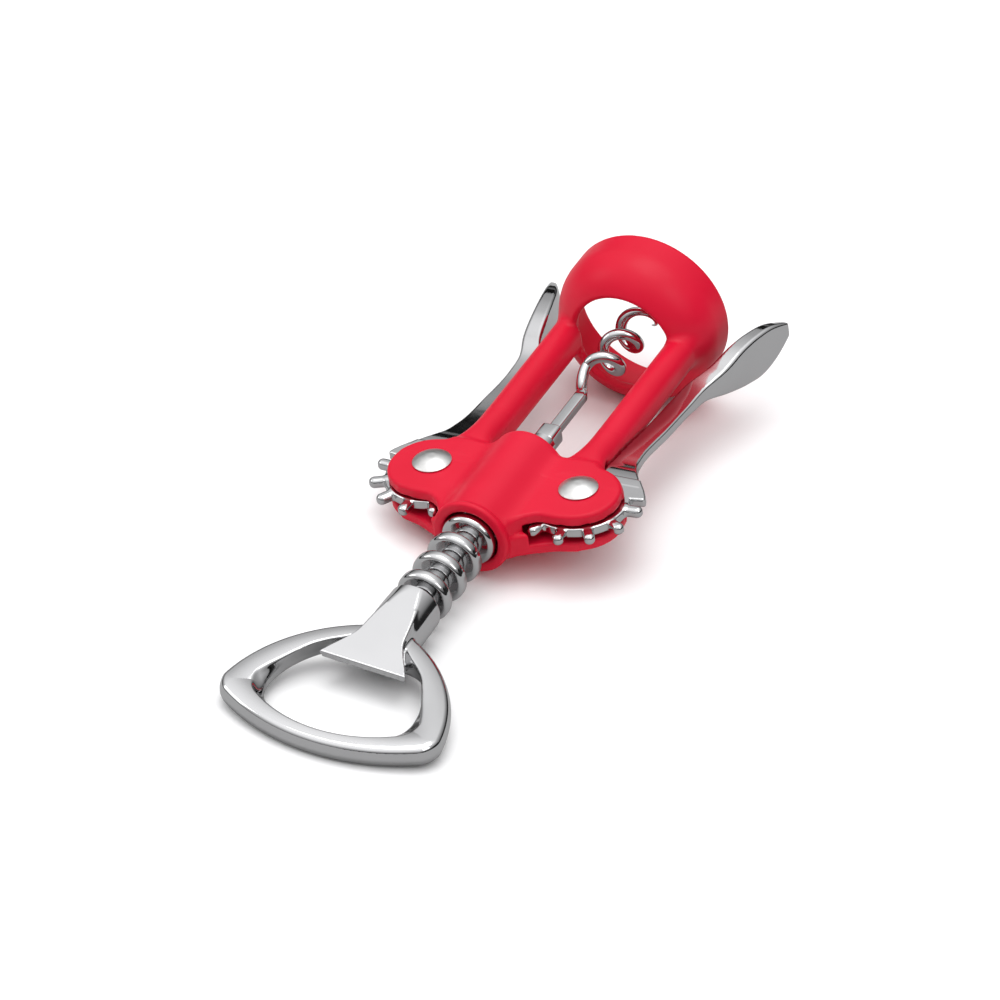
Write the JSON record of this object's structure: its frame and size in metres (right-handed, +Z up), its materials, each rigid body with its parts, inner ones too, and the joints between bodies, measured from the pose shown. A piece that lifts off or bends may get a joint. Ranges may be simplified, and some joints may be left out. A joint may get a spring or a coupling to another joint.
{
  "type": "lever corkscrew",
  "caption": "Lever corkscrew with two geared wing levers, a ringed rack, a coiled worm, a moulded frame with a bottle bell and an opener-loop handle",
  "frame": {"origin": "centre of the bell's mouth, where the corkscrew seats on a bottle", "axes": "+Y along the spindle from the opener handle to the bell's mouth, +X across both levers, +Z up from the flat gears as the corkscrew lies on its back"},
  "size_m": [0.0626, 0.1725, 0.0378],
  "materials": {
    "red_plastic": "satin moulded plastic",
    "chrome": "bright chrome plate",
    "rivet_steel": "satin domed rivet steel",
    "rod_steel": "plain turned steel"
  },
  "bodies": {
    "frame": {"frame": "red_plastic", "pivot_rivet_right": "rivet_steel", "pivot_rivet_left": "rivet_steel", "rivet_cap_right": "rivet_steel", "rivet_cap_left": "rivet_steel"},
    "lever_right": {"lever_right": "chrome"},
    "lever_left": {"lever_left": "chrome"},
    "rack": {"rack_sleeve": "chrome"},
    "spindle": {"spindle_rod": "rod_steel", "worm_ferrule": "chrome", "worm": "chrome", "opener_handle": "chrome", "handle_pin": "rod_steel"}
  },
  "joints": [
    {"name": "lever_right_pivot", "type": "hinge", "parent": "frame", "child": "lever_right", "pos_m": [0.0175, -0.0723, 0], "axis": [0, 0, -1], "range_deg": [0, 135]},
    {"name": "lever_left_pivot", "type": "hinge", "parent": "frame", "child": "lever_left", "pos_m": [-0.0175, -0.0723, 0], "axis": [0, 0, 1], "range_deg": [0, 135]},
    {"name": "rack_slide", "type": "slide", "parent": "frame", "child": "rack", "axis": [0, 1, 0], "range_m": [0, 0.0311]},
    {"name": "handle_spin", "type": "hinge", "parent": "rack", "child": "spindle", "pos_m": [0, -0.0723, 0], "axis": [0, 1, 0], "continuous": true}
  ],
  "couplings": [
    {"joint": "lever_left_pivot", "follows": "lever_right_pivot", "ratio": 1},
    {"joint": "rack_slide", "follows": "lever_right_pivot", "m_per_rad": 0.013178}
  ]
}
